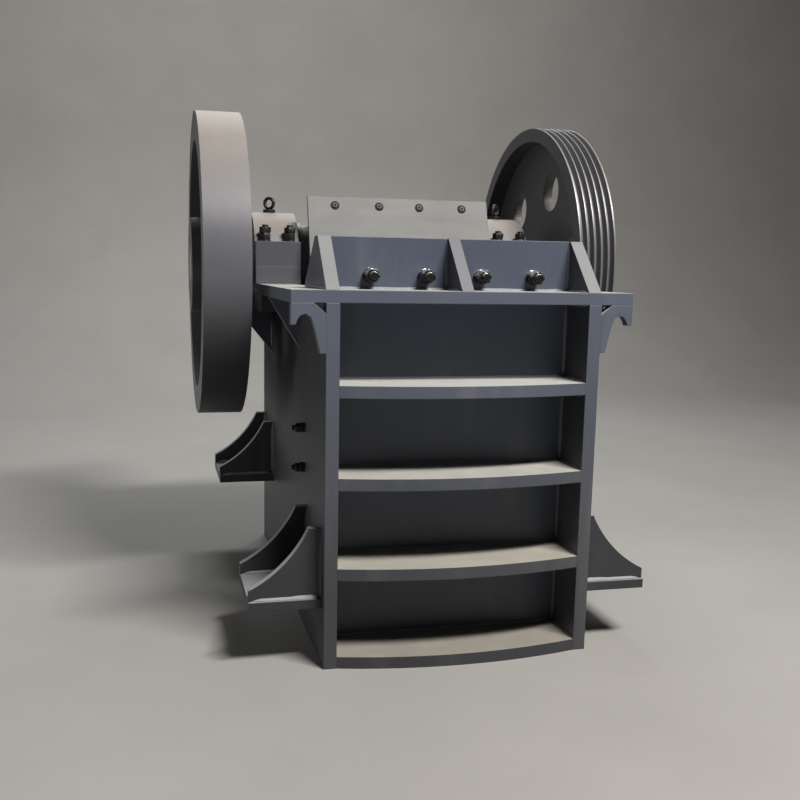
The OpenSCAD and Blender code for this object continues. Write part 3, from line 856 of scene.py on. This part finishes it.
class CRUSHER_OT_front_welds(CrusherStep, bpy.types.Operator):
    """Weld beads of the shelf ribs, the ledge and its gussets"""

    bl_idname = "crusher.front_welds"
    bl_label = "Front welds"
    seed = 11

    def build(self):
        leg = bolts().weld_leg
        run = partial(bead, leg=leg, noise=np.random.default_rng(self.seed))
        grids = []
        for low, high in RIB_BOXES + [(FLANGE_LOW, FLANGE_HIGH)]:
            for level, up in ((high[2], Z), (low[2], -Z)):
                if level <= 0:
                    continue
                below = level < DECK_TOP - SAME
                x = INNER_X if below else INNER_X - leg
                grids.append(run((-x, WALL_Y, level), (x, WALL_Y, level), -Y, up))
                if below:
                    grids += mirrored([
                        run((INNER_X, FRONT + leg, level), (INNER_X, WALL_Y, level), -X, up)])
        tops = [high[2] for _, high in RIB_BOXES]
        bottoms = [low[2] for low, _ in RIB_BOXES[1:]] + [DECK_LOW]
        for low, high in zip(tops, bottoms):
            grids += mirrored([run((INNER_X, WALL_Y, low), (INNER_X, WALL_Y, high), -X, -Y)])
        foot, top = GUSSET_LOW[1] + leg, DECK_TOP
        grids += mirrored([
            run((INNER_X, foot, top), (INNER_X, WALL_Y, top), -X, Z),
            run((OUTER_X, foot, top), (OUTER_X, GUSSET_HIGH[1], top), X, Z),
            run((INNER_X, WALL_Y, top), (INNER_X, WALL_Y, WALL_TOP), -X, -Y),
            run((MIDDLE_X, foot, top), (MIDDLE_X, WALL_Y, top), X, Z),
            run((MIDDLE_X, WALL_Y, top), (MIDDLE_X, WALL_Y, WALL_TOP), X, -Y)])
        finish = weld_finish("weld_paint", look())
        shell("front_welds", grids, finish, "frame", smooth_angle=WELD_ANGLE)


class CRUSHER_OT_side_welds(CrusherStep, bpy.types.Operator):
    """Weld beads of the feet, the wings and their brackets"""

    bl_idname = "crusher.side_welds"
    bl_label = "Side welds"
    seed = 12
    # the feet's gussets: thickness, places from the foot's front edge, height, leg at the foot
    gusset_t, insets, gusset_h = 0.025, (0.010, 0.247), 0.190
    foot_leg = 0.0085
    # the wing brackets: thickness, and how far down each is welded
    bracket_t = 0.025
    bracket_h = {"front": 0.126, "middle": 0.148, "rear": 0.216}

    def build(self):
        leg = bolts().weld_leg
        run = partial(bead, leg=leg, noise=np.random.default_rng(self.seed))
        half = []
        for low, high in FEET:
            half += [run((OUTER_X, low[1], high[2]), (OUTER_X, high[1], high[2]), X, Z),
                     run((OUTER_X, low[1], low[2]), (OUTER_X, high[1], low[2]), X, -Z)]
            for inset in self.insets:
                for y, out in ((low[1] + inset, -Y), (low[1] + inset + self.gusset_t, Y)):
                    foot = (OUTER_X, y, high[2])
                    half += [run(foot, (high[0] - leg, y, high[2]), out, Z, leg=self.foot_leg),
                             run(foot, (OUTER_X, y, high[2] + self.gusset_h), out, X)]
        for place, drop in self.bracket_h.items():
            low, high = span(f"wing_brackets_{place}")
            for y, out in ((low[1], -Y), (high[1], Y)):
                if y <= FRONT + SAME:
                    continue
                corner = (OUTER_X, y, DECK_LOW)
                half += [run(corner, (OUTER_X, y, DECK_LOW - drop), out, X),
                         run(corner, (WING_X - leg, y, DECK_LOW), out, -Z)]
        half.append(run((OUTER_X, FRONT + self.bracket_t, DECK_LOW), (OUTER_X, REAR, DECK_LOW),
                        X, -Z))
        # painted shade on the sideways beads high up
        finish = weld_finish("side_weld_paint", look(), dust=0.95, depth=0.0004, painted_side_shade=1.2)
        shell("side_welds", mirrored(half), finish, "frame", smooth_angle=WELD_ANGLE)


class CRUSHER_OT_studio(CrusherStep, bpy.types.Operator):
    """Pale floor, soft lights and the camera"""

    bl_idname = "crusher.studio"
    bl_label = "Studio"
    floor_half, bend, wall_top, wall_y = 9.0, 3.0, 7.0, 7.0
    # each light's place, aim and sides in metres, and its tint; its power is a property
    lamps = {
        "key": ((1.18, -2.95, 4.6), (0.0, -0.6, 0.6), (1.8, 0.42), (1.0, 0.985, 0.96)),
        "back": ((0.3, 3.9, 4.6), (0.0, 0.6, 0.6), (3.0, 1.0), (0.95, 0.98, 1.0)),
        "side": ((-3.4, 0.1, 0.8), (0.0, 0.25, 0.7), (0.8, 0.8), (1.0, 1.0, 1.0)),
        "wall": ((0.0, 3.0, 4.4), (0.0, wall_y, 2.2), (6.0, 1.5), (1.0, 1.0, 1.0)),
    }
    sky = (0.86, 0.92, 1.0, 1.0)
    # the photograph's camera: place in metres, turn, tilt and roll in radians, lens in pixels
    camera_place = (-0.798110, -3.057653, 1.042119)
    camera_turn, camera_tilt, camera_roll = 0.23555, -0.15525, 0.01745
    lens_pixels, picture = 966.210, 800.0
    middle_pixel = (379.672, 419.756)
    sensor = 36.0

    def build(self):
        self.sweep()
        self.lights()
        self.camera()

    def sweep(self):
        """Floor that bends up into a wall behind: a flat run, a quarter circle, a straight rise."""
        turn = np.linspace(0, math.pi / 2, 24)
        bend_y = self.wall_y - self.bend + self.bend * np.sin(turn)
        bend_z = self.bend * (1 - np.cos(turn))
        x = np.array([-self.floor_half, self.floor_half])
        y = np.concatenate([[-self.floor_half], bend_y, [self.wall_y]])[:, None]
        z = np.concatenate([[0.0], bend_z, [self.wall_top]])[:, None]
        points = np.stack(np.broadcast_arrays(x, y, z), axis=-1).reshape(-1, 3)
        row = np.arange(len(y) - 1)
        faces = np.stack([2 * row, 2 * row + 1, 2 * row + 3, 2 * row + 2], axis=-1)
        mesh = bpy.data.meshes.new("studio_sweep")
        mesh.from_pydata(points.tolist(), [], faces.tolist())
        mesh.shade_smooth()
        sweep = bpy.data.objects.new("studio_sweep", mesh)
        bpy.context.scene.collection.objects.link(sweep)
        mesh.materials.append(studio_floor("studio_floor", studio().floor))

    def lights(self):
        """Rectangles of soft light, which the camera doesn't see, and a weak even fill."""
        for key, (place, aim, sides, tint) in self.lamps.items():
            name = key + "_light"
            light = bpy.data.lights.new(name, "AREA")
            light.shape = "RECTANGLE"
            light.size, light.size_y = sides
            light.energy = getattr(studio(), key)
            light.color = tint
            lamp = bpy.data.objects.new(name, light)
            lamp.visible_camera = False
            ahead = unit(np.subtract(aim, place))
            right = unit(np.cross(ahead, Z))
            aimed(lamp, place, right, np.cross(right, ahead), ahead)
        world = bpy.data.worlds.new("studio_world")
        world.use_nodes = True
        back = world.node_tree.nodes["Background"]
        back.inputs["Color"].default_value = self.sky
        back.inputs["Strength"].default_value = studio().fill
        bpy.context.scene.world = world
        bpy.context.scene.view_settings.view_transform = "Standard"

    def camera(self):
        """The camera at the photograph's viewing angle, rolled about its line of sight."""
        turn, tilt, roll = self.camera_turn, self.camera_tilt, self.camera_roll
        ahead = np.array([math.sin(turn) * math.cos(tilt), math.cos(turn) * math.cos(tilt),
                          math.sin(tilt)])
        level = np.array([math.cos(turn), -math.sin(turn), 0.0])
        upright = np.cross(level, ahead)
        right = math.cos(roll) * level + math.sin(roll) * upright
        up = math.cos(roll) * upright - math.sin(roll) * level
        data = bpy.data.cameras.new("camera")
        data.sensor_width = self.sensor
        data.lens = self.sensor * self.lens_pixels / self.picture
        data.shift_x = (self.picture / 2 - self.middle_pixel[0]) / self.picture
        data.shift_y = (self.middle_pixel[1] - self.picture / 2) / self.picture
        camera = bpy.data.objects.new("camera", data)
        aimed(camera, self.camera_place, right, up, ahead)
        bpy.context.scene.camera = camera


STEPS = (CRUSHER_OT_plates, CRUSHER_OT_bearings, CRUSHER_OT_wheels, CRUSHER_OT_jaws,
         CRUSHER_OT_clamp_bolts, CRUSHER_OT_guard_bolts, CRUSHER_OT_cap_studs,
         CRUSHER_OT_cheek_bolts, CRUSHER_OT_front_welds, CRUSHER_OT_side_welds,
         CRUSHER_OT_studio)
GROUPS = {"crusher_look": CrusherLook, "crusher_bolts": CrusherBolts,
          "crusher_studio": CrusherStudio}


class CRUSHER_PT_panel(bpy.types.Panel):
    """Lists the building steps and what may be changed"""

    bl_idname = "CRUSHER_PT_panel"
    bl_label = "Jaw crusher"
    bl_space_type = "VIEW_3D"
    bl_region_type = "UI"
    bl_category = "Crusher"

    def draw(self, context):
        for step in STEPS:
            self.layout.operator(step.bl_idname, text=step.bl_label)
        for name in GROUPS:
            group = getattr(context.scene, name)
            box = self.layout.box()
            for key in group.__annotations__:
                box.prop(group, key)


CLASSES = (*GROUPS.values(), *STEPS, CRUSHER_PT_panel)


def register():
    for kind in CLASSES:
        bpy.utils.register_class(kind)
    for name, group in GROUPS.items():
        setattr(bpy.types.Scene, name, bpy.props.PointerProperty(type=group))


def unregister():
    for name in GROUPS:
        delattr(bpy.types.Scene, name)
    for kind in reversed(CLASSES):
        bpy.utils.unregister_class(kind)


def main():
    register()
    for step in STEPS:
        family, verb = step.bl_idname.split(".")
        getattr(getattr(bpy.ops, family), verb)()


if __name__ == "__main__":
    main()
